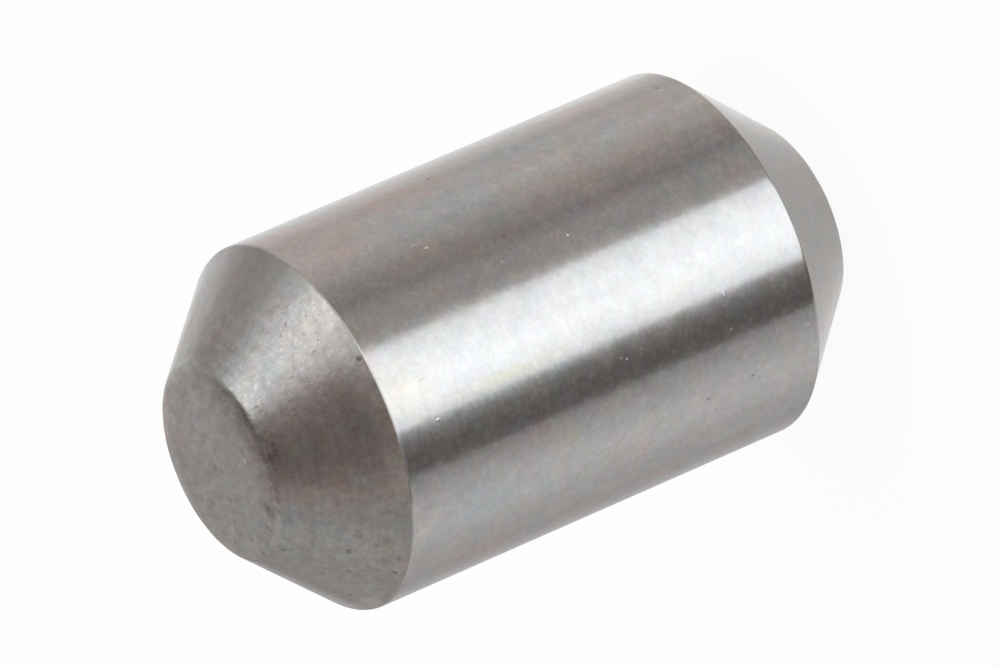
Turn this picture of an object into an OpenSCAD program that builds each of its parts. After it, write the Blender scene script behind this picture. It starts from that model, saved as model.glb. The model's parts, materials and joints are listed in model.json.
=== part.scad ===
/* [Barrel] */
// Diameter of the ground barrel
barrel_d = 10; // [7:0.5:20]
// Length over both end faces
pin_l = 18; // [12:0.5:60]
// Radius that takes the sharpness off the edge between barrel and nose
shoulder_r = 0.15; // [0.05:0.05:1]

/* [Noses] */
// Length of each tapered nose, measured along the pin
nose_l = 2.65; // [1.5:0.05:4.5]
// Diameter of each end face, out to the corner that its rim would have if it were sharp
face_d = 5.05; // [3.5:0.05:6]
// Radius that rolls the rim of each end face over into the nose
rim_r = 0.7; // [0.1:0.05:1]

/* [Hidden] */

barrel_r = barrel_d / 2;
face_r = face_d / 2;
// Where the barrel stops and a nose begins, above the pin's middle
shoulder_z = pin_l / 2 - nose_l;

// Slope of a nose: its angle from the pin's axis, and the direction square to its surface
nose_angle = atan2(barrel_r - face_r, nose_l);
nose_normal = [cos(nose_angle), sin(nose_angle)];

// An arc between two straight edges starts this far from the corner that it replaces
function arc_reach(r, turn) = r * tan(turn / 2);

// Centres of the two arcs, as [radius, height above the middle]
shoulder_c = [barrel_r - shoulder_r, shoulder_z - arc_reach(shoulder_r, nose_angle)];
rim_c = [face_r - arc_reach(rim_r, 90 - nose_angle), pin_l / 2 - rim_r];

// Section of the upper half, from the middle of the barrel to an end face.
// The outline steps in to the centre of each arc, and a disc there fills the corner out.
module half_section() {
    polygon([
        [0, 0],
        [barrel_r, 0],
        shoulder_c + [shoulder_r, 0],
        shoulder_c,
        shoulder_c + shoulder_r * nose_normal,
        rim_c + rim_r * nose_normal,
        rim_c,
        rim_c + [0, rim_r],
        [0, pin_l / 2]
    ]);
    translate(shoulder_c) circle(r = shoulder_r, $fn = 96);
    translate(rim_c) circle(r = rim_r, $fn = 96);
}

// One solid turned from bar: a straight barrel with the same nose at either end.
// It stands on an end face, with its axis on Z.
module pin() {
    color("#9b9793")
        translate([0, 0, pin_l / 2])
            rotate_extrude($fn = 192) {
                half_section();
                mirror([0, 1]) half_section();
            }
}

pin();
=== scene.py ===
import json
import math

import bmesh
import bpy
from mathutils import Matrix, Vector, noise


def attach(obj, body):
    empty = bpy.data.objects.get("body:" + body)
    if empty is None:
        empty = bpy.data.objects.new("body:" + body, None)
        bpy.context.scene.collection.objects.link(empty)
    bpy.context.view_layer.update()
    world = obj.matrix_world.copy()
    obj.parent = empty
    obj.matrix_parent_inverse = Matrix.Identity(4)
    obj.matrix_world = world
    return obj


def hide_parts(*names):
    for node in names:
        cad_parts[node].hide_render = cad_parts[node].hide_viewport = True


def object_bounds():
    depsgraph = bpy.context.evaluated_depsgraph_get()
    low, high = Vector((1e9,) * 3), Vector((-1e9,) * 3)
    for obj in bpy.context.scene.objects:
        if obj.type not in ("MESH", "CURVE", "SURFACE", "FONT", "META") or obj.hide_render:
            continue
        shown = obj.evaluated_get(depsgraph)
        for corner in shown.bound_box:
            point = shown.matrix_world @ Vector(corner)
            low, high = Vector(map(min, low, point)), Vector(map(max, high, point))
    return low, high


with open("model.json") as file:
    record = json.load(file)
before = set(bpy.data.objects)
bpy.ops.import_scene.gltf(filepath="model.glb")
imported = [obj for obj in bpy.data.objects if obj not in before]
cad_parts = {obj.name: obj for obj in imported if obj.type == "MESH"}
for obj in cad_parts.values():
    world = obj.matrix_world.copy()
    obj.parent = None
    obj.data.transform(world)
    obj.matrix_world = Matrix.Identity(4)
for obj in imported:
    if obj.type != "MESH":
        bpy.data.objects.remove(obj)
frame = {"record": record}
cad_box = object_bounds()


# ---- The pin --------------------------------------------------------------------------------
# One piece of hardened bar steel. The barrel is ground true to size; the tapered noses and the
# end faces are turned, then tumbled, which rolls their rims over and leaves fine dents. Oil and
# handling have left thin stains, pits and dust on it. A few pale patches and facets on the upper
# nose and the end face's rim are painted highlights and glints.

MM = 0.001
barrel_r = frame["record"]["mounts"][0]["dims"]["r_mm"] * MM
pin_l = cad_box[1].z
half_l = pin_l / 2
nose_l = 2.65 * MM
face_r = 5.05 / 2 * MM
rim_r = 0.5 * MM
shoulder_r = 0.15 * MM
nose_angle = math.atan2(barrel_r - face_r, nose_l)
shoulder_z = half_l - nose_l
shoulder_corner = Vector((barrel_r, shoulder_z))

# The tumbled margin of an end face sags away from the flat, over this width and to this slope.
margin_w = 0.85 * MM
margin_slope = math.radians(7)
margin_r = 4.5 * MM
margin_angle = math.pi / 2 - margin_slope
margin_corner = Vector((face_r - margin_w + margin_r * math.tan(margin_slope / 2), half_l))

# The sagging margin, carried on, meets the nose here.
steep = math.tan(math.pi / 2 - nose_angle)
shallow = math.tan(margin_slope)
reach = shallow * (face_r - margin_corner.x) / (steep - shallow)
rim_corner = Vector((face_r + reach, half_l - steep * reach))

facets_round = 640


def spread(start, end, rows):
    """Evenly spaced section points after the start and up to the end."""
    return [start.lerp(end, (i + 1) / rows) for i in range(rows)]


def rounded(corner, radius, normal_a, normal_b, rows):
    """Section points of the arc that rounds a corner, between surfaces that face two angles."""
    half_turn = (normal_b - normal_a) / 2
    bisector = normal_a + half_turn
    out = radius / math.cos(half_turn)
    centre = corner - Vector((math.cos(bisector), math.sin(bisector))) * out
    angles = [normal_a + 2 * half_turn * i / rows for i in range(rows + 1)]
    return [centre + Vector((math.cos(a), math.sin(a))) * radius for a in angles]


def half_section():
    """The pin's section from its barrel's middle to an end face's centre, as (radius, height)."""
    shoulder = rounded(shoulder_corner, shoulder_r, 0, nose_angle, 6)
    rim = rounded(rim_corner, rim_r, nose_angle, margin_angle, 14)
    margin = rounded(margin_corner, margin_r, margin_angle, math.pi / 2, 8)
    # A narrow hem beside each arc keeps the shading of the straight stretches true.
    hem = 0.02 * MM
    along = (rim[0] - shoulder[-1]).normalized() * hem
    points = [Vector((barrel_r, 0))]
    points += spread(points[-1], shoulder[0] - Vector((0, hem)), 10) + shoulder
    points += spread(points[-1], points[-1] + along, 1)
    points += spread(points[-1], rim[0] - along, 16) + rim
    points += spread(points[-1], margin[0], 3)[:-1] + margin
    points += spread(points[-1], Vector((0.3 * MM, half_l)), 10)
    return points


def near_to(point, corner, reach):
    """1 at a corner of the section, falling to 0 at a distance from it."""
    share = max(0.0, 1 - (point - corner).length / reach)
    return share * share * (3 - 2 * share)


def on_side(turn, drop, radius=barrel_r):
    """A place on the pin, by degrees round from its front and distance below the upper shoulder."""
    a = math.radians(turn)
    return Vector((-math.sin(a) * radius, -math.cos(a) * radius, half_l + shoulder_z - drop))


def on_face(turn, inward):
    """A place on the upper face, by degrees round from its front and distance in from its edge."""
    a = math.radians(turn)
    return Vector((-math.sin(a), -math.cos(a), 0)) * (face_r - inward) + Vector((0, 0, pin_l))


def on_nose(turn, up):
    """A place on the upper nose, by degrees round from its front and distance up the slope."""
    return on_side(turn, -up * math.cos(nose_angle), barrel_r - up * math.sin(nose_angle))


# Tumbling has left the corners uneven, as (corner, reach, grain, depth).
unevenness = [
    (rim_corner, 0.55 * MM, 0.3 * MM, 0.006 * MM),
    (rim_corner, 0.55 * MM, 0.14 * MM, 0.0025 * MM),
    (shoulder_corner, 0.16 * MM, 0.25 * MM, 0.0015 * MM),
]

# Knocks on the edges, as (place, reach, depth).
knocks = [
    (on_side(21.9, 0), 0.13 * MM, 0.012 * MM),
    (on_nose(-33, 3.5 * MM), 0.16 * MM, 0.006 * MM),
    (on_nose(-9, 3.52 * MM), 0.2 * MM, 0.008 * MM),
    (on_nose(8, 3.48 * MM), 0.15 * MM, 0.006 * MM),
    (on_nose(-57, 3.4 * MM), 0.15 * MM, 0.006 * MM),
]


def worn(point, place):
    """How far tumbling has pushed the skin out, at a section point and its place on the pin."""
    level = Vector((point.x, abs(point.y)))
    push = 0.0
    for corner, reach, size, depth in unevenness:
        push += near_to(level, corner, reach) * depth * noise.noise(place / size)
    for centre, size, depth in knocks:
        push -= depth * max(0.0, 1 - (place - centre).length / size) ** 2
    return push


# The skin laid out flat for textures: barrel and noses as strips, faces as discs.
sheet_w = 2 * math.pi * barrel_r
disc_r = face_r - 0.3 * MM
barrel_foot = 0.012
nose_feet = (0.43, 0.59)
nose_stretch = 1.5
disc_centres = ((0.2, 0.86), (0.6, 0.86))
disc_stretch = 1.7


def flattened(point, share, zone):
    """The place on the flat sheet of a section point, this share of a turn round."""
    upper = point.y > 0
    if zone == "barrel":
        return share, barrel_foot + (point.y + shoulder_z) / sheet_w
    if zone == "nose":
        return share, nose_feet[upper] + (barrel_r - point.x) / sheet_w * nose_stretch
    turn = 2 * math.pi * share
    middle = disc_centres[upper]
    size = point.x / sheet_w * disc_stretch
    return middle[0] + size * math.cos(turn), middle[1] + size * math.sin(turn)


def lathe():
    """The turned body: the half section mirrored below itself and carried round the axis."""
    upper = half_section()
    section = [Vector((p.x, -p.y)) for p in reversed(upper[1:])] + upper
    mesh = bmesh.new()
    sheet = mesh.loops.layers.uv.new("OFBake")
    turns = [2 * math.pi * i / facets_round for i in range(facets_round)]
    rings = []
    for p in section:
        # Wear goes straight out from the nearer of the two corners.
        by_shoulder = p.x > (rim_corner.x + shoulder_corner.x) / 2
        lean = nose_angle / 2 if by_shoulder else (nose_angle + margin_angle) / 2
        out = Vector((math.cos(lean), math.copysign(math.sin(lean), p.y)))
        ring = []
        for t in turns:
            q = p + out * worn(p, Vector((p.x * math.cos(t), p.x * math.sin(t), half_l + p.y)))
            ring.append(mesh.verts.new((q.x * math.cos(t), q.x * math.sin(t), half_l + q.y)))
        rings.append(ring)

    def skin(corners, places):
        face = mesh.faces.new(corners)
        face.smooth = True
        middle = sum((point for point, _ in places), Vector((0, 0))) / len(places)
        face.material_index = int(abs(middle.y) > shoulder_z)
        zone = "barrel" if face.material_index == 0 else "nose" if middle.x > disc_r else "face"
        for loop, (point, share) in zip(face.loops, places):
            loop[sheet].uv = flattened(point, share, zone)

    for k in range(len(rings) - 1):
        low, high = section[k], section[k + 1]
        for i in range(facets_round):
            j = (i + 1) % facets_round
            here, there = i / facets_round, (i + 1) / facets_round
            corners = (rings[k][i], rings[k][j], rings[k + 1][j], rings[k + 1][i])
            skin(corners, ((low, here), (low, there), (high, there), (high, here)))
    for ring, point in ((rings[0], section[0]), (rings[-1], section[-1])):
        centre = mesh.verts.new((0, 0, half_l + point.y))
        middle = Vector((0, point.y))
        for i in range(facets_round):
            j = (i + 1) % facets_round
            here, there = i / facets_round, (i + 1) / facets_round
            if point.y > 0:
                skin((ring[i], ring[j], centre), ((point, here), (point, there), (middle, here)))
            else:
                skin((ring[j], ring[i], centre), ((point, there), (point, here), (middle, here)))
    return mesh


def node(tree, kind, ins=None, **settings):
    """A shader node with its settings, and each of its inputs set or wired."""
    made = tree.nodes.new(kind)
    for name, value in settings.items():
        setattr(made, name, value)
    for name, value in (ins or {}).items():
        if isinstance(value, bpy.types.NodeSocket):
            tree.links.new(value, made.inputs[name])
        else:
            made.inputs[name].default_value = value
    return made


def maths(tree, operation, first, second=0.0, third=0.0):
    """A sum done at every point."""
    ins = {0: first, 1: second, 2: third}
    return node(tree, "ShaderNodeMath", ins, operation=operation).outputs[0]


def vector_maths(tree, operation, first, second, third=(0, 0, 0)):
    """The same for a place or a colour, each of its three numbers by itself."""
    ins = {0: first, 1: second, 2: third}
    return node(tree, "ShaderNodeVectorMath", ins, operation=operation).outputs[0]


def grain(tree, place, size, detail=2.0, harsh=0.5, output="Fac"):
    """Cloudy noise whose largest blots are about one size across."""
    ins = {"Vector": place, "Scale": 1 / size, "Detail": detail, "Roughness": harsh}
    return node(tree, "ShaderNodeTexNoise", ins).outputs[output]


def fade(tree, value, start, end, low=0.0, high=1.0):
    """A smooth step from low to high while the value goes from start to end."""
    ins = {"Value": value, "From Min": start, "From Max": end, "To Min": low, "To Max": high}
    return node(tree, "ShaderNodeMapRange", ins, interpolation_type="SMOOTHSTEP").outputs[0]


def tinted(tree, under, over):
    """One colour multiplied by another."""
    ins = {0: 1.0, 6: under, 7: over}
    return node(tree, "ShaderNodeMix", ins, data_type="RGBA", blend_type="MULTIPLY").outputs[2]


def covered(tree, share, under, over):
    """One colour laid over another, by a share."""
    ins = {0: share, 6: under, 7: over}
    return node(tree, "ShaderNodeMix", ins, data_type="RGBA").outputs[2]


def shades(tree, value, stops):
    """A colour for each value, through (value, colour) stops."""
    ramp = node(tree, "ShaderNodeValToRGB", {0: value})
    points = ramp.color_ramp.elements
    while len(points) < len(stops):
        points.new(0.5)
    for point, (position, colour) in zip(points, stops):
        point.position = position
        point.color = (*colour, 1)
    return ramp.outputs[0]


# A mark this deep reaches right through the skin.
through = 4 * MM


def spot(tree, place, centre, turn, size, strength=1.0, core=0.0):
    """A soft oval mark, full in its core and gone at its edge, sized across, inwards and upwards."""
    ins = {"Vector": place, "Location": centre, "Rotation": (0, 0, -math.radians(turn)), "Scale": size}
    local = node(tree, "ShaderNodeMapping", ins, vector_type="TEXTURE").outputs[0]
    away = node(tree, "ShaderNodeVectorMath", {0: local}, operation="LENGTH").outputs["Value"]
    return fade(tree, away, 1.0, core, 0.0, strength)


def gathered(tree, marks):
    """The sum of several marks, each added as soon as it is made."""
    total = 0.0
    for mark in marks:
        total = maths(tree, "ADD", mark, total)
    return total


def ovals(tree, place, marks, centre_at=on_side, core=0.0, deep=through):
    """The sum of soft ovals, as (degrees round, mm from the shoulder, mm across, mm along, strength)."""
    return gathered(tree, (
        spot(tree, place, centre_at(turn, drop * MM), turn, (across * MM, deep, along * MM), full, core)
        for turn, drop, across, along, full in marks
    ))


def on_faces(tree, place, marks, core):
    """The same on the end face, as (degrees round, mm in from its edge, mm across, mm inwards, strength)."""
    return gathered(tree, (
        spot(tree, place, on_face(turn, drop * MM), turn, (across * MM, inwards * MM, through), full, core)
        for turn, drop, across, inwards, full in marks
    ))


def swayed(tree, place, size, reach):
    """The place pushed about by noise, which gives soft ovals a ragged outline."""
    push = vector_maths(tree, "SUBTRACT", grain(tree, place, size, 4, 0.65, "Color"), (0.5, 0.5, 0.5))
    return vector_maths(tree, "MULTIPLY_ADD", push, (reach,) * 3, place)


def pits(tree, place, size, share, radius):
    """Round pits, 1 in their middles: one in each cell of this size, in this share of the cells."""
    cells = node(tree, "ShaderNodeTexVoronoi", {"Vector": place, "Scale": 1 / size})
    lot = node(tree, "ShaderNodeSeparateXYZ", {0: cells.outputs["Color"]}).outputs
    chosen = maths(tree, "LESS_THAN", lot["X"], share)
    width = maths(tree, "MULTIPLY_ADD", lot["Y"], radius * 0.6 / size, radius * 0.5 / size)
    hollow = maths(tree, "SUBTRACT", 1.0, maths(tree, "DIVIDE", cells.outputs["Distance"], width))
    return maths(tree, "MULTIPLY", fade(tree, hollow, 0.0, 1.0), chosen)


def tints(tree, place, size, tinge):
    """Warmer and cooler factors for a colour, in mottle of this size, with all hues in its finest grain."""
    warmth = grain(tree, place, size, 4, 0.7)
    swing = (tinge, 0, -0.3 * tinge)
    broad = vector_maths(tree, "MULTIPLY_ADD", warmth, swing, [1 - t / 2 for t in swing])
    speck = grain(tree, place, 0.4 * MM, 2, 0.6, "Color")
    swing = (0.9 * tinge, 0.6 * tinge, 0.9 * tinge)
    fine = vector_maths(tree, "MULTIPLY_ADD", speck, swing, [1 - t / 2 for t in swing])
    return vector_maths(tree, "MULTIPLY", broad, fine)


def clouded(tree, colour, place, along, size, depth, tinge, calm=0.0, plain=0.0):
    """A colour under cloudy mottle from this size down to fine grain: pale and brown, and warm and cool."""
    cloudy = grain(tree, along, size, 4, 0.75)
    deep = (0.93 * depth, depth, 1.02 * depth)
    light = vector_maths(tree, "MULTIPLY_ADD", cloudy, deep, [1 - d / 2 for d in deep])
    colour = vector_maths(tree, "MULTIPLY", colour, covered(tree, plain, light, (1, 1, 1, 1)))
    hues = covered(tree, calm, tints(tree, place, size * 2.4, tinge), (1, 1, 1, 1))
    return vector_maths(tree, "MULTIPLY", colour, hues)


def steel(name):
    """A new metal finish: its material, node tree and shader, and the place on the pin."""
    material = bpy.data.materials.new(name)
    material.use_nodes = True
    tree = material.node_tree
    place = node(tree, "ShaderNodeTexCoord").outputs["Object"]
    return material, tree, tree.nodes["Principled BSDF"], place


def roughened(tree, shader, height):
    """The shader's surface raised by a height in micrometres."""
    bump = node(tree, "ShaderNodeBump", {"Height": height, "Distance": 0.001 * MM, "Strength": 1.0})
    tree.links.new(bump.outputs[0], shader.inputs["Normal"])


def barrel_film(tree, place):
    """The oil film on the barrel, as three shares: brown, bluish and straw-coloured."""
    bent = swayed(tree, place, 0.9 * MM, 1.8 * MM)
    brown = ovals(tree, bent, [
        (-52, 1.0, 1.9, 1.7, 0.65), (-57, 1.9, 0.5, 0.6, 0.4), (-63, 3.9, 0.7, 1.9, 0.9),
        (-34, 3.0, 0.35, 1.6, 1.0), (-36, 7.6, 0.5, 1.6, 0.75), (-41, 8.4, 0.5, 0.7, 0.5),
        (-37, 10.0, 0.7, 1.4, 0.7), (-68, 9.9, 0.6, 1.2, 0.6), (-55, 11.4, 0.7, 0.5, 0.7),
        (-35, 12.2, 0.6, 0.5, 0.5), (-54, 6.7, 0.25, 0.3, 0.6), (32, 2.1, 0.4, 0.45, 0.5),
        (29, 4.0, 0.35, 1.3, 0.8), (46, 1.3, 0.3, 0.4, 0.5), (69, 2.4, 0.9, 1.7, 1.0),
        (68, 5.3, 0.8, 1.4, 0.9), (69, 8.0, 0.8, 1.1, 0.9), (70, 10.5, 0.7, 1.0, 0.8),
        (52, 7.2, 0.4, 0.4, 0.5), (-30, 6.3, 0.4, 8.0, 0.3), (-69, 1.2, 0.8, 1.6, 0.6),
    ], core=0.3)
    bluish = ovals(tree, bent, [
        (-48, 5.0, 0.9, 2.6, 0.8), (-60, 7.6, 0.9, 1.8, 0.8), (-50, 9.9, 0.6, 1.0, 0.6),
        (46, 1.7, 1.2, 1.6, 0.7), (40, 8.5, 0.9, 2.5, 0.3),
    ], core=0.4)
    # One dried drop has a straw-coloured middle and a bluish rim.
    middle = ovals(tree, bent, [(36, 4.7, 0.55, 0.75, 1.0)], core=0.5)
    drop = ovals(tree, bent, [(42, 5.0, 1.2, 1.7, 0.4)], core=0.6)
    rim = maths(tree, "MULTIPLY", drop, maths(tree, "SUBTRACT", 1.0, middle))
    bluish = maths(tree, "ADD", bluish, rim)
    straw = ovals(tree, bent, [
        (-57, 1.9, 0.4, 0.5, 0.5), (-34, 3.2, 0.2, 0.9, 0.5), (-35, 8.4, 0.15, 0.5, 0.5),
        (2, 0.6, 1.3, 1.3, 0.6), (1, 7.5, 0.3, 0.4, 0.3),
    ], core=0.2)
    straw = maths(tree, "MULTIPLY_ADD", middle, 0.5, straw)
    streaks = ovals(tree, place, [(9.6, 3.6, 0.3, 2.8, 0.95), (6, 9.1, 0.25, 1.0, 0.6)])
    straw = maths(tree, "ADD", straw, streaks)
    # The far side carries its own patches of the same film.
    depth = node(tree, "ShaderNodeSeparateXYZ", {0: place}).outputs["Y"]
    behind = fade(tree, depth, -0.5 * MM, 2.5 * MM)
    broad = grain(tree, place, 3.5 * MM, 4, 0.6)
    brown = maths(tree, "MULTIPLY_ADD", fade(tree, broad, 0.52, 0.7), behind, brown)
    bluish = maths(tree, "MULTIPLY_ADD", fade(tree, broad, 0.48, 0.32), behind, bluish)
    return brown, bluish, straw


def barrel_specks(tree, colour, place):
    """A colour under the barrel's dark specks of dirt and its pale dust, and the dust's share."""
    dirt = ovals(tree, place, [
        (-66, 5.12, 0.11, 0.1, 0.6), (42, 10.6, 0.06, 0.07, 0.7), (43.4, 9.2, 0.06, 0.1, 0.45),
        (72.3, 8.74, 0.12, 0.07, 0.6), (-6.7, 2.12, 0.03, 0.1, 0.2), (0.9, 1.17, 0.03, 0.14, 0.25),
        (-62.1, 12.09, 0.15, 0.11, 0.4),
    ], core=0.2)
    colour = covered(tree, dirt, colour, (0.06, 0.045, 0.04, 1))
    dust = ovals(tree, place, [
        (-33.5, 8.22, 0.06, 0.06, 0.2), (-21.5, 6.81, 0.06, 0.06, 0.6), (-36.0, 3.27, 0.06, 0.1, 0.45),
        (-38.7, 3.02, 0.06, 0.08, 0.22), (-23.8, 5.46, 0.06, 0.06, 0.2), (-21.9, 4.78, 0.07, 0.07, 0.22),
        (13.6, 1.23, 0.05, 0.08, 0.35), (18.6, 6.78, 0.04, 0.07, 0.25), (19.6, 6.93, 0.06, 0.06, 0.35),
        (18.5, 7.43, 0.05, 0.08, 0.14), (23.9, 10.11, 0.06, 0.08, 0.25), (32.6, 12.4, 0.07, 0.08, 0.35),
        (13.1, 10.15, 0.13, 0.035, 0.5),
    ])
    return covered(tree, dust, colour, (0.85, 0.85, 0.8, 1)), dust


def ground_steel():
    """Ground and hardened steel under patches of thin oil film, with fine pits, dust and fibres."""
    material, tree, shader, place = steel("ground_steel")
    brown, bluish, straw = barrel_film(tree, place)
    film = [(0, (1, 1, 1)), (0.3, (1.03, 0.985, 0.98)), (1, (1.08, 0.96, 0.945))]
    colour = tinted(tree, (0.336, 0.327, 0.322, 1), shades(tree, brown, film))
    film = [(0, (1, 1, 1)), (0.4, (0.975, 1, 1.015)), (1, (0.935, 0.99, 1.035))]
    colour = tinted(tree, colour, shades(tree, bluish, film))
    film = [(0, (1, 1, 1)), (0.5, (1.02, 1.005, 0.955)), (1, (1.05, 1.01, 0.86))]
    colour = tinted(tree, colour, shades(tree, straw, film))
    polished = ovals(tree, place, [(0, 6.3, 1.35, 9.0, 0.65)], core=0.7)
    # Grinding has drawn the grain out a little, round the barrel.
    ground = vector_maths(tree, "MULTIPLY", place, (0.87, 0.87, 1.06))
    colour = clouded(tree, colour, ground, ground, 0.5 * MM, 0.4, 0.28, polished)
    colour, dust = barrel_specks(tree, colour, place)

    # A haze of grinding dust and dried oil, which scatters light where the steel mirrors dark.
    haze = fade(tree, grain(tree, ground, 0.14 * MM, 2, 0.6), 0.42, 0.78, 0, 0.085)
    tone = vector_maths(tree, "MULTIPLY", tints(tree, ground, 0.9 * MM, 0.8), (0.86, 0.82, 0.77))
    colour = covered(tree, haze, colour, tone)
    loose = maths(tree, "MAXIMUM", dust, haze)
    tree.links.new(maths(tree, "SUBTRACT", 1.0, loose), shader.inputs["Metallic"])
    tree.links.new(colour, shader.inputs["Base Color"])

    cloud = grain(tree, place, 0.5 * MM, 2, 0.6)
    dull = fade(tree, cloud, 0.3, 0.7, 0.15, 0.2)
    dull = maths(tree, "MULTIPLY_ADD", brown, 0.02, dull)
    tree.links.new(maths(tree, "MAXIMUM", dull, dust), shader.inputs["Roughness"])
    height = maths(tree, "MULTIPLY", grain(tree, ground, 0.15 * MM, 1.5, 0.5), 0.7)
    height = maths(tree, "MULTIPLY_ADD", cloud, 0.75, height)
    height = maths(tree, "MULTIPLY_ADD", pits(tree, place, 0.45 * MM, 0.4, 0.06 * MM), -1.0, height)
    height = maths(tree, "MULTIPLY_ADD", dust, 10.0, height)
    roughened(tree, shader, height)
    return material


def nose_film_and_highlight(tree, colour, place, bent, flat):
    """A colour under the oil film on the noses and faces, brown and bluish, with a cream painted highlight.
    """
    brown = ovals(tree, bent, [
        (54, 0.6, 1.6, 0.9, 0.6), (6, 1.8, 2.4, 1.7, 0.6), (8, 3.3, 1.1, 0.5, 0.7), (-15, 1.0, 0.5, 1.6, 0.6),
    ], on_nose)
    bluish = ovals(tree, bent, [
        (-29, 2.0, 0.6, 0.8, 0.5), (-24, 2.6, 0.5, 1.2, 0.4), (60, 1.9, 0.7, 0.8, 0.7),
        (46, 3.2, 0.8, 0.7, 0.8), (74, 3.4, 0.8, 0.8, 0.8), (58, 0.6, 0.5, 0.35, 0.6),
        (54, 1.2, 0.4, 0.35, 0.7), (50, 1.8, 0.35, 0.35, 0.8), (46, 2.4, 0.35, 0.35, 0.8),
        (42, 3.0, 0.4, 0.35, 0.7),
    ], on_nose)
    broad = grain(tree, place, 1.3 * MM, 4, 0.6)
    mottled = fade(tree, broad, 0.5, 0.68)
    brown = maths(tree, "MULTIPLY_ADD", mottled, fade(tree, flat, 0.0, 1.0, 0.3, 0.85), brown)
    bluish = maths(tree, "MULTIPLY_ADD", fade(tree, broad, 0.5, 0.32), 0.5, bluish)
    film = [(0, (1, 1, 1)), (0.5, (1.03, 0.985, 0.97)), (1, (1.06, 0.965, 0.94))]
    colour = tinted(tree, colour, shades(tree, brown, film))
    film = [(0, (1, 1, 1)), (1, (0.95, 0.94, 0.94))]
    colour = tinted(tree, colour, shades(tree, flat, film))
    film = [(0, (1, 1, 1)), (0.5, (0.98, 1.02, 1.015)), (1, (0.95, 1.01, 1.04))]
    colour = tinted(tree, colour, shades(tree, bluish, film))
    # A cream painted highlight beside the shoulder, where the nose mirrors its brightest card.
    cream_highlight = ovals(tree, bent, [(-31, 0.4, 0.9, 1.0, 1.0)], on_nose)
    film = [(0, (1, 1, 1)), (1, (1.12, 1.09, 1.05))]
    return tinted(tree, colour, shades(tree, cream_highlight, film))


def nose_patches_and_highlights(tree, colour, place, bent, radius):
    """A colour under lighter, cleaner and dirtier patches, painted highlights, dried oil and darker clumps at
    the rim.
    """
    # The steel is lighter beside the shoulder, at the front.
    by_shoulder = fade(tree, radius, barrel_r - 0.55 * MM, barrel_r - 0.15 * MM)
    lighter_front = ovals(tree, bent, [(8, 0.3, 2.4, 0.9, 1.0)], on_nose, 0.55)
    film = [(0, (1, 1, 1)), (1, (1.36, 1.34, 1.32))]
    colour = tinted(tree, colour, shades(tree, maths(tree, "MULTIPLY", by_shoulder, lighter_front), film))
    # Some patches are cleaner, and a few, marked below nought, are dirtier. Those at the back edge of the end
    # face, and the strong one by the shoulder at 93 degrees, are painted highlights.
    cleaner_and_highlit = on_faces(tree, bent, [
        (-100, 1.1, 1.7, 1.6, 1.0), (-137, 0.25, 0.9, 0.5, 1.0), (-100, 0.0, 1.8, 0.34, 3.2),
        (-140, 0.0, 1.8, 0.34, 3.6), (-180, 0.05, 1.6, 0.3, 2.4),
    ], 0.2)
    cleaner_and_highlit = maths(tree, "ADD", cleaner_and_highlit, ovals(tree, bent, [
        (63, 1.9, 2.4, 2.3, 0.5), (-17, 2.7, 0.5, 1.6, -0.9), (-76, 1.8, 0.7, 2.3, 0.9),
        (-90, 1.8, 0.5, 2.3, -0.7), (-45, 0.6, 0.7, 1.6, 0.9), (93, 0.15, 1.0, 0.45, 3.5),
    ], on_nose, 0.5))
    # Cleaner patches and painted highlights lighten the colour, and dirtier ones darken it.
    colour = tinted(tree, colour, maths(tree, "MULTIPLY_ADD", cleaner_and_highlit, 0.1, 1.0))
    # Brown oil has dried along the front of the face's rim.
    oil = on_faces(tree, bent, [
        (2, 0.2, 0.5, 0.4, 0.75), (-17, 0.15, 0.5, 0.35, 0.65), (-33, 0.2, 0.5, 0.35, 0.5),
        (-46, 0.3, 0.5, 0.3, 0.35),
    ], 0.35)
    oil = maths(tree, "MULTIPLY", oil, fade(tree, radius, face_r + 0.02 * MM, face_r - 0.05 * MM))
    film = [(0, (1, 1, 1)), (0.5, (0.92, 0.885, 0.875)), (1, (0.8, 0.74, 0.73))]
    colour = tinted(tree, colour, shades(tree, oil, film))
    # Clumps along the front of the rim darken it, greenish to brown.
    dark_clumps = ovals(tree, place, [(3, 3.35, 1.0, 0.32, 1.0)], on_nose, 0.5, 0.3 * MM)
    film = [
        (0.4, (0.88, 1, 0.95)), (0.46, (1, 1, 1)), (0.52, (0.92, 0.9, 0.9)), (0.6, (0.62, 0.53, 0.52)),
    ]
    clumps = shades(tree, grain(tree, place, 0.3 * MM, 3, 0.7), film)
    return tinted(tree, colour, covered(tree, dark_clumps, (1, 1, 1, 1), clumps))


def nose_mottle(tree, colour, place, across, rise, lines, flat):
    """A colour under the turning marks and the mottle, and the share by which the steel is smoother."""
    # The lower nose, and the right-hand side of both, are smoother.
    lower = fade(tree, rise, 0.0, -1 * MM, 0.0, 0.75)
    smooth = maths(tree, "MAXIMUM", lower, fade(tree, across["X"], 2.2 * MM, 4 * MM, 0.0, 0.55))
    turnings = fade(tree, grain(tree, lines, 0.35 * MM, 2, 0.5), 0.25, 0.75, 0.95, 1.05)
    turnings = covered(tree, maths(tree, "MAXIMUM", flat, smooth), turnings, (1, 1, 1, 1))
    colour = tinted(tree, colour, turnings)
    # On the face the grain lies along one way, as the cut-off left it.
    sideways = maths(tree, "MULTIPLY", maths(tree, "MULTIPLY", across["Y"], flat), -0.42)
    shift = node(tree, "ShaderNodeCombineXYZ", {"Y": sideways}).outputs[0]
    laid = vector_maths(tree, "ADD", place, shift)
    bright = ovals(tree, place, [(-32, 1.8, 2.2, 2.6, 0.5)], on_nose, 0.6)
    smooth = maths(tree, "MAXIMUM", smooth, fade(tree, flat, 1.0, 0.0, 0.0, 0.15))
    return clouded(tree, colour, laid, laid, 0.3 * MM, 1.12, 0.3, bright, smooth), smooth


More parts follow.
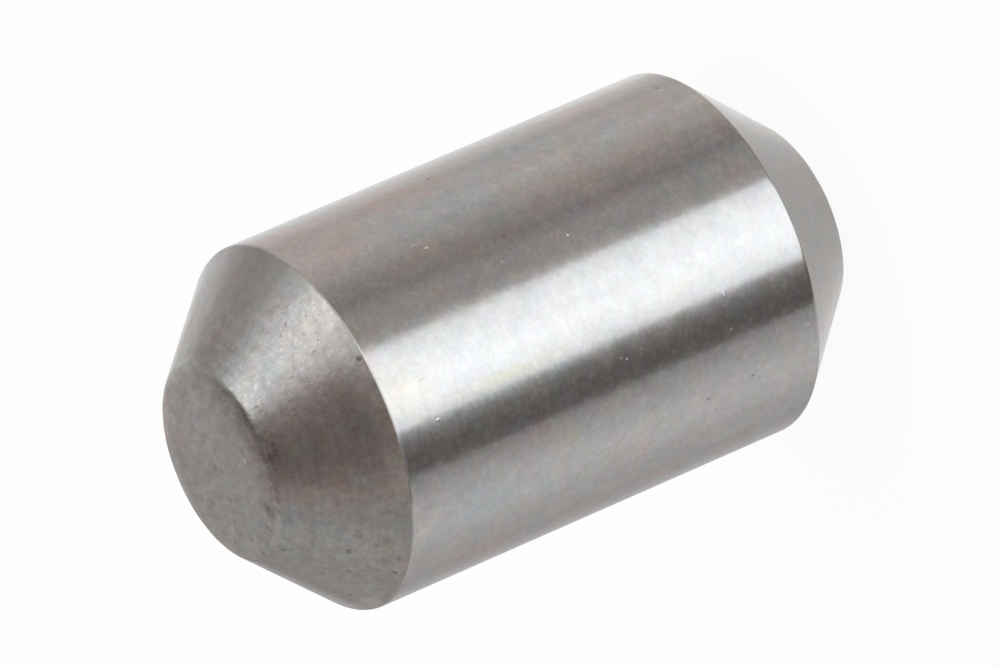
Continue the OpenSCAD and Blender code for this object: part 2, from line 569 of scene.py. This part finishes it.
def nose_dents_and_glints(tree, colour, bent, place):
    """A colour under small pale facets, partly burnished steel and partly painted glints, and dark dents; the
    dents' share; and a jagged place.
    """
    # They are thickest in a patch beside the shoulder and up the slope, where the nose mirrors its brightest
    # card; there the pale facets are painted glints.
    glint_patch = ovals(tree, bent, [(-33, 0.7, 1.4, 1.3, 0.7), (-27, 2.9, 1.0, 1.0, 0.5)], on_nose)
    share = maths(tree, "ADD", glint_patch, 0.2)
    jagged = swayed(tree, place, 0.08 * MM, 0.14 * MM)
    # Pale facets: painted glints in the glint patch, burnished steel elsewhere.
    facets = maths(tree, "MULTIPLY", pits(tree, jagged, 0.13 * MM, 0.7, 0.08 * MM), share)
    colour = covered(tree, facets, colour, (0.46, 0.44, 0.41, 1))
    dents = pits(tree, jagged, 0.23 * MM, 0.5, 0.08 * MM)
    colour = covered(tree, maths(tree, "MULTIPLY", dents, share), colour, (0.1, 0.085, 0.075, 1))
    return colour, dents, jagged


def nose_pits(tree, colour, place, jagged):
    """A colour under brown pits and pale scratches, and the share of the pits that lie scattered."""
    dots = ovals(tree, jagged, [
        (-12.2, 0.13, 0.13, 0.11, 0.85), (64.1, 0.3, 0.1, 0.08, 0.8), (69.9, 3.18, 0.12, 0.07, 0.5),
        (83.8, 3.5, 0.12, 0.08, 0.5), (65, 2.02, 0.14, 0.12, 0.3), (85.2, 2.58, 0.14, 0.07, 0.4),
        (58.7, 1.58, 0.16, 0.08, 0.7), (57, 0.3, 0.17, 0.07, 0.4), (70.9, 1.39, 0.12, 0.09, 0.4),
        (89.3, 0.86, 0.17, 0.07, 0.6), (79.7, 1.93, 0.2, 0.1, 0.35), (46.5, 3.59, 0.1, 0.08, 0.5),
        (35.4, 1.93, 0.1, 0.09, 0.25), (52.9, 0.89, 0.15, 0.1, 0.25), (66.9, 3.0, 0.12, 0.09, 0.25),
        (-4, 3.42, 0.2, 0.13, 0.3), (8, 3.38, 0.22, 0.13, 0.5), (-42, 3.56, 0.16, 0.1, 0.25),
    ], on_nose, 0.1, 0.5 * MM)
    # Those on the end face, as (mm to the right, mm back, mm across, strength).
    for x, y, size, full in [
        (0.81, -0.11, 0.1, 0.55), (0.04, -1.70, 0.14, 0.4), (-0.06, 0.09, 0.12, 0.55),
        (-0.46, 1.96, 0.13, 0.3), (-0.96, 0.06, 0.12, 0.35), (-0.87, 0.99, 0.12, 0.4),
        (-1.53, -1.72, 0.2, 0.55), (-1.42, -0.31, 0.13, 0.4), (-1.03, 1.85, 0.12, 0.3),
        (-1.5, 0.28, 0.13, 0.3), (-2.01, 0.79, 0.12, 0.4), (0.42, -0.5, 0.1, 0.2),
        (-2.1, -0.15, 0.13, 0.4), (-1.96, -1.23, 0.13, 0.4), (-1.74, 0.36, 0.12, 0.35),
    ]:
        centre = Vector((x * MM, y * MM, pin_l))
        dot = spot(tree, jagged, centre, 0, (size * MM, size * MM, through), full, 0.1)
        dots = maths(tree, "ADD", dots, dot)
    scattered = pits(tree, jagged, 0.8 * MM, 0.5, 0.13 * MM)
    dots = maths(tree, "MULTIPLY_ADD", scattered, 0.4, dots)
    colour = covered(tree, dots, colour, (0.11, 0.07, 0.06, 1))
    # As (mm to the right, mm back, degrees round, mm long, mm wide, strength).
    scratches = gathered(tree, [
        spot(tree, place, Vector((x * MM, y * MM, pin_l)), turn, (long * MM, wide * MM, through), full)
        for x, y, turn, long, wide, full in [
            (-1.58, 0.61, -34, 0.28, 0.04, 0.4), (0.6, -0.12, 0, 0.07, 0.07, 0.5),
            (-0.2, -1.66, 0, 0.1, 0.08, 0.5),
        ]
    ])
    return covered(tree, scratches, colour, (0.56, 0.54, 0.52, 1)), scattered


def turned_steel():
    """Turned and tumbled steel: grain and streaks round the axis, dents and pale facets, partly painted
    glints and highlights, and brown pits.
    """
    material, tree, shader, place = steel("turned_steel")
    shader.inputs["Metallic"].default_value = 1
    # Noise that changes fast up the slope and slowly round it makes streaks that run round the axis.
    across = node(tree, "ShaderNodeSeparateXYZ", {0: place}).outputs
    ring = node(tree, "ShaderNodeCombineXYZ", {"X": across["X"], "Y": across["Y"]}).outputs[0]
    radius = node(tree, "ShaderNodeVectorMath", {0: ring}, operation="LENGTH").outputs["Value"]
    rise = maths(tree, "SUBTRACT", across["Z"], half_l)
    outward = maths(tree, "MULTIPLY", radius, maths(tree, "SIGN", rise))
    slope = maths(tree, "SUBTRACT", rise, outward)
    ins = {"X": across["X"], "Y": across["Y"], "Z": slope}
    turned = node(tree, "ShaderNodeCombineXYZ", ins).outputs[0]
    lines = vector_maths(tree, "MULTIPLY", turned, (0.2, 0.2, 1.6))
    flat = fade(tree, maths(tree, "ABSOLUTE", rise), half_l - 0.2 * MM, half_l - 0.1 * MM)
    bent = swayed(tree, place, 1.2 * MM, 1.0 * MM)

    colour = nose_film_and_highlight(tree, (0.30, 0.288, 0.28, 1), place, bent, flat)
    colour = nose_patches_and_highlights(tree, colour, place, bent, radius)
    colour, smooth = nose_mottle(tree, colour, place, across, rise, lines, flat)
    colour, dents, jagged = nose_dents_and_glints(tree, colour, bent, place)
    colour, scattered = nose_pits(tree, colour, place, jagged)
    tree.links.new(colour, shader.inputs["Base Color"])

    cloud = grain(tree, place, 0.5 * MM, 2, 0.6)
    tree.links.new(fade(tree, cloud, 0.3, 0.7, 0.17, 0.23), shader.inputs["Roughness"])
    height = maths(tree, "MULTIPLY", grain(tree, place, 0.15 * MM, 1.5, 0.5), 2.2)
    height = maths(tree, "MULTIPLY_ADD", cloud, 6.5, height)
    rings = maths(tree, "MULTIPLY", grain(tree, lines, 0.2 * MM, 2, 0.6), maths(tree, "SUBTRACT", 1.0, flat))
    height = maths(tree, "MULTIPLY_ADD", rings, 0.3, height)
    height = maths(tree, "MULTIPLY_ADD", dents, -2.0, height)
    height = maths(tree, "MULTIPLY_ADD", pits(tree, place, 0.34 * MM, 0.5, 0.13 * MM), -1.8, height)
    height = maths(tree, "MULTIPLY_ADD", scattered, -1.0, height)
    height = maths(tree, "MULTIPLY", height, fade(tree, smooth, 0.15, 0.75, 1.0, 0.12))
    roughened(tree, shader, height)
    return material


pin_mesh = bpy.data.meshes.new("ground_pin")
pin_mesh.materials.append(ground_steel())
pin_mesh.materials.append(turned_steel())
body = lathe()
body.to_mesh(pin_mesh)
body.free()
pin = bpy.data.objects.new("ground_pin", pin_mesh)
bpy.context.scene.collection.objects.link(pin)
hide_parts("pin")
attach(pin, "root")


# ---- Floor ----------------------------------------------------------------------------------
# A wide sheet of smooth white card, lying flat, that the pin stands on. It looks white all over
# and takes only a faint shadow from the pin.

floor_reach = 1.5
# The share of its own white that the camera sees; the rest takes the pin's shadow.
floor_lift = 0.93

floor_mesh = bpy.data.meshes.new("floor")
corners = [(x * floor_reach, y * floor_reach, 0) for x, y in ((-1, -1), (1, -1), (1, 1), (-1, 1))]
floor_mesh.from_pydata(corners, [], [(0, 1, 2, 3)])
floor = bpy.data.objects.new("floor", floor_mesh)
bpy.context.scene.collection.objects.link(floor)
white = bpy.data.materials.new("white_card")
white.use_nodes = True
nodes, links = white.node_tree.nodes, white.node_tree.links
nodes.clear()
diffuse = nodes.new("ShaderNodeBsdfDiffuse")
diffuse.inputs["Color"].default_value = (0.8, 0.8, 0.8, 1)
glow = nodes.new("ShaderNodeEmission")
path = nodes.new("ShaderNodeLightPath")
lifted = nodes.new("ShaderNodeMath")
lifted.operation = "MULTIPLY_ADD"
lifted.inputs[1].default_value = floor_lift
mix = nodes.new("ShaderNodeMixShader")
out = nodes.new("ShaderNodeOutputMaterial")
links.new(path.outputs["Is Camera Ray"], lifted.inputs[0])
links.new(path.outputs["Is Glossy Ray"], lifted.inputs[2])
links.new(lifted.outputs[0], mix.inputs[0])
links.new(diffuse.outputs[0], mix.inputs[1])
links.new(glow.outputs[0], mix.inputs[2])
links.new(mix.outputs[0], out.inputs[0])
floor_mesh.materials.append(white)


# ---- Light ----------------------------------------------------------------------------------
# A pale studio: bright near the floor and softer overhead, with one soft box high on the pin's
# right and one above it, and lit, grey and dark cards laid, hung and stood round it.

world = bpy.data.worlds.new("studio")
bpy.context.scene.world = world
world.use_nodes = True
nodes, links = world.node_tree.nodes, world.node_tree.links
background = nodes["Background"]
place = nodes.new("ShaderNodeTexCoord")
split = nodes.new("ShaderNodeSeparateXYZ")
rise = nodes.new("ShaderNodeMapRange")
rise.inputs["From Min"].default_value = 0.0
rise.inputs["From Max"].default_value = 0.9
rise.inputs["To Min"].default_value = 1.05
rise.inputs["To Max"].default_value = 0.5
links.new(place.outputs["Generated"], split.inputs[0])
links.new(split.outputs["Z"], rise.inputs["Value"])
links.new(rise.outputs[0], background.inputs["Strength"])
background.inputs["Color"].default_value = (1, 0.97, 0.945, 1)


def glowing(name, colour):
    """A card's own light, times the share that each of its corners carries."""
    material = bpy.data.materials.new(name)
    material.use_nodes = True
    nodes, links = material.node_tree.nodes, material.node_tree.links
    nodes.clear()
    level = nodes.new("ShaderNodeAttribute")
    level.attribute_name = "level"
    glow = nodes.new("ShaderNodeEmission")
    glow.inputs["Color"].default_value = (*colour, 1)
    out = nodes.new("ShaderNodeOutputMaterial")
    links.new(level.outputs["Fac"], glow.inputs["Strength"])
    links.new(glow.outputs[0], out.inputs[0])
    return material


def card(name, rows, colour):
    """A sheet through rows of (point, light level) that only the steel mirrors."""
    mesh = bpy.data.meshes.new(name)
    wide = len(rows[0])
    quads = []
    for r in range(len(rows) - 1):
        for c in range(wide - 1):
            k = r * wide + c
            quads.append((k, k + 1, k + 1 + wide, k + wide))
    mesh.from_pydata([tuple(point) for row in rows for point, _ in row], [], quads)
    held = mesh.attributes.new("level", "FLOAT", "POINT")
    held.data.foreach_set("value", [level for row in rows for _, level in row])
    mesh.materials.append(glowing(name, colour))
    sheet = bpy.data.objects.new(name, mesh)
    bpy.context.scene.collection.objects.link(sheet)
    sheet.visible_camera = False
    sheet.visible_diffuse = False
    sheet.visible_shadow = False
    return sheet


# Cards laid on the floor, each where the barrel mirrors it and a hair above the floor, as
# (name, colour, [(degrees round the barrel from its front, light level)]).
card_lift = Vector((0, 0, 0.0002))
card_reach = 0.15
floor_cards = [
    ("grey_card_right", (1, 0.95, 0.918), [
        (-75, 1.0), (-66, 0.86), (-60, 0.97), (-50, 1.05), (-45, 0.9), (-42, 0.86), (-38, 0.69),
        (-35, 0.6), (-30, 0.475), (-27, 0.58), (-24, 0.69), (-20, 0.66), (-16, 0.8), (-13, 1.15),
    ]),
    ("lit_card", (0.943, 0.99, 1.023), [
        (-13, 2.2), (-10, 2.45), (-6, 2.7), (0, 2.93), (4, 2.78), (8, 2.48), (10, 2.33), (12.6, 2.05),
    ]),
    ("black_card_edge", (0.98, 0.98, 0.96), [(12.6, 0.72), (14.5, 0.43), (17, 0.32)]),
    ("black_card_left", (1, 0.915, 0.875), [(17, 0.32), (20, 0.235), (24, 0.226), (27.3, 0.245)]),
    ("pale_card_left_front", (0.995, 0.982, 0.985), [
        (27.3, 0.64), (30, 0.74), (33, 0.88), (36, 1.0), (40, 1.14), (46, 1.14), (50, 1.04), (55, 0.88),
    ]),
    ("grey_card_left", (1, 0.975, 0.97), [
        (55, 0.88), (60, 0.8), (66, 0.66), (72, 0.63), (80, 0.63), (86, 0.6), (92, 0.52),
    ]),
]
for name, colour, edges in floor_cards:
    rows = []
    for away in (0, card_reach):
        row = []
        for degrees, level in edges:
            a = math.radians(degrees)
            foot = Vector((-math.sin(a), -math.cos(a), 0)) * barrel_r
            point = foot + Vector((-math.sin(2 * a), -math.cos(2 * a), 0)) * away + card_lift
            row.append((point, level))
        rows.append(row)
    card(name, rows, colour)


def round_rows(middle, side, up, rings, sides=48):
    """Rings of (point, light level) round a middle, given by (radius, level)."""
    turns = [2 * math.pi * i / sides for i in range(sides + 1)]
    rows = []
    for radius, level in rings:
        rows.append([(middle + (side * math.cos(t) + up * math.sin(t)) * radius, level) for t in turns])
    return rows


# A faint shade round the foot of the pin. The floor is brighter to both sides of it, most of all
# to its right.
foot_rings = [(0.3 * MM, 0.82), (5 * MM, 0.85), (9 * MM, 0.93), (14 * MM, 1.0)]
foot_rows = []
for row in round_rows(card_lift / 2, Vector((1, 0, 0)), Vector((0, 1, 0)), foot_rings):
    lifted_row = []
    for point, level in row:
        side_lift = 0.36 if point.x > 0 else 0.15
        lifted_row.append((point, level * (1 + side_lift * (point.x / point.xy.length) ** 4)))
    foot_rows.append(lifted_row)
card("foot_shade", foot_rows, (1, 0.985, 0.975))


def towards(azimuth, elevation):
    """Unit direction from the pin, the azimuth counted from the front towards the pin's right."""
    a, e = math.radians(azimuth), math.radians(elevation)
    return Vector((math.sin(a) * math.cos(e), -math.cos(a) * math.cos(e), math.sin(e)))


# Round cards hung facing the pin, as (name, azimuth, elevation, distance, colour,
# [(degrees out from its middle, light level)]).
hung_cards = [
    ("lit_card_above", 70, 47, 0.4, (0.98, 1, 1.01), [
        (0.5, 2.06), (8, 1.96), (14, 1.66), (19, 1.26), (23, 1.09), (27, 1.0), (31, 0.92),
    ]),
    ("dark_card_above", -24.5, 58, 0.38, (1, 0.865, 0.825), [
        (0.5, 0.325), (8, 0.335), (15, 0.38), (22, 0.48), (28, 0.58), (35, 0.68),
    ]),
    ("grey_card_behind_right", 128, 17, 0.5, (1, 0.96, 0.94), [(0.5, 0.66), (11, 0.7), (22, 0.86)]),
    ("grey_card_behind_left", -148, 4, 0.5, (1, 0.95, 0.92), [(0.5, 0.6), (13, 0.68), (26, 0.78)]),
    ("grey_card_behind", 180, 8, 0.6, (1, 0.97, 0.94), [(0.5, 0.71), (9, 0.72), (16, 0.77), (22, 0.8)]),
    ("pale_card_left", -130, 42, 0.44, (1, 0.97, 0.95), [
        (0.5, 0.92), (10, 0.89), (18, 0.78), (24, 0.68), (30, 0.6),
    ]),
    ("dark_card_over", 140, 78, 0.36, (1, 0.96, 0.93), [(0.5, 0.38), (8, 0.39), (15, 0.4), (22, 0.42)]),
    ("dark_card_beside", -100, 70, 0.34, (1, 0.92, 0.89), [(0.5, 0.44), (8, 0.45), (15, 0.46)]),
]
for name, azimuth, elevation, distance, colour, levels in hung_cards:
    way = towards(azimuth, elevation)
    side = way.cross(Vector((0, 0, 1))).normalized()
    rings = [(distance * math.tan(math.radians(degrees)), level) for degrees, level in levels]
    middle = Vector((0, 0, half_l)) + way * distance
    card(name, round_rows(middle, side, side.cross(way), rings), colour)

# Upright cards bent round the pin, as (name, elevation of its foot, elevation of its top,
# distance, colour, [(azimuth, light level at its foot, light level at its top)]).
standing_cards = [
    ("lit_card_right", -1, 34, 0.3, (1, 1, 1), [
        (70, 0.8, 1.5), (55, 0.9, 1.7), (40, 1.1, 1.7), (30, 1.6, 1.7), (26, 2.0, 1.7),
    ]),
    ("lit_card_front", -1, 30, 0.3, (0.97, 1, 1.01), [(25, 2.6, 1.9), (0, 2.9, 1.2), (-25, 2.4, 0.6)]),
    ("dark_card_behind", -6, 9, 0.08, (1, 0.95, 0.92), [
        (-135, 0.78, 0.78), (-145, 0.58, 0.64), (-155, 0.42, 0.5), (-168, 0.42, 0.6),
        (-180, 0.66, 0.72), (-192, 0.7, 0.74), (-203, 0.88, 0.84),
    ]),
    ("dark_card_front", -1, 36, 0.3, (1, 0.92, 0.88), [
        (-26, 0.5, 0.4), (-40, 0.3, 0.33), (-66, 0.34, 0.5),
    ]),
]
for name, foot, top, distance, colour, columns in standing_cards:
    rows = []
    for share in (0, 0.5, 1):
        elevation = foot + (top - foot) * share
        row = []
        for azimuth, low, high in columns:
            point = Vector((0, 0, half_l)) + towards(azimuth, elevation) * distance
            row.append((point, low + (high - low) * share))
        rows.append(row)
    card(name, rows, colour)


def soft_box(name, azimuth, elevation, distance, side, watts):
    """A square lamp that faces the pin, and that the steel doesn't mirror."""
    data = bpy.data.lights.new(name, "AREA")
    data.size = side
    data.energy = watts
    lamp = bpy.data.objects.new(name, data)
    bpy.context.scene.collection.objects.link(lamp)
    way = towards(azimuth, elevation)
    lamp.location = Vector((0, 0, half_l)) + way * distance
    lamp.rotation_euler = way.to_track_quat("Z", "Y").to_euler()
    lamp.visible_glossy = False


soft_box("side_box", 69.5, 48, 0.4, 0.27, 0.48)
soft_box("top_box", 0, 89, 0.8, 0.7, 1.6)


# ---- Camera ---------------------------------------------------------------------------------
# A long lens looks down at the standing pin, turned on its side so that the pin's top points
# left in the frame.

view_down = math.radians(27.01)
view_roll = math.radians(-113.33)
view_distance = 357.45 * MM
# The pin's middle lies this far to the right of the frame's middle, and below it.
pin_right = 0.13 * MM
pin_below = 0.182 * MM

camera_data = bpy.data.cameras.new("view")
camera_data.lens = 500
camera_data.sensor_width = 36
camera_data.clip_start = 0.01
camera_data.clip_end = 10
camera = bpy.data.objects.new("view", camera_data)
bpy.context.scene.collection.objects.link(camera)
bpy.context.scene.camera = camera
turn = Matrix.Rotation(math.pi / 2 - view_down, 4, "X") @ Matrix.Rotation(view_roll, 4, "Z")
middle = Vector((0, 0, half_l))
back = turn.to_3x3() @ Vector((-pin_right, pin_below, view_distance))
camera.matrix_world = Matrix.Translation(middle + back) @ turn

bpy.context.scene.view_settings.view_transform = "Standard"
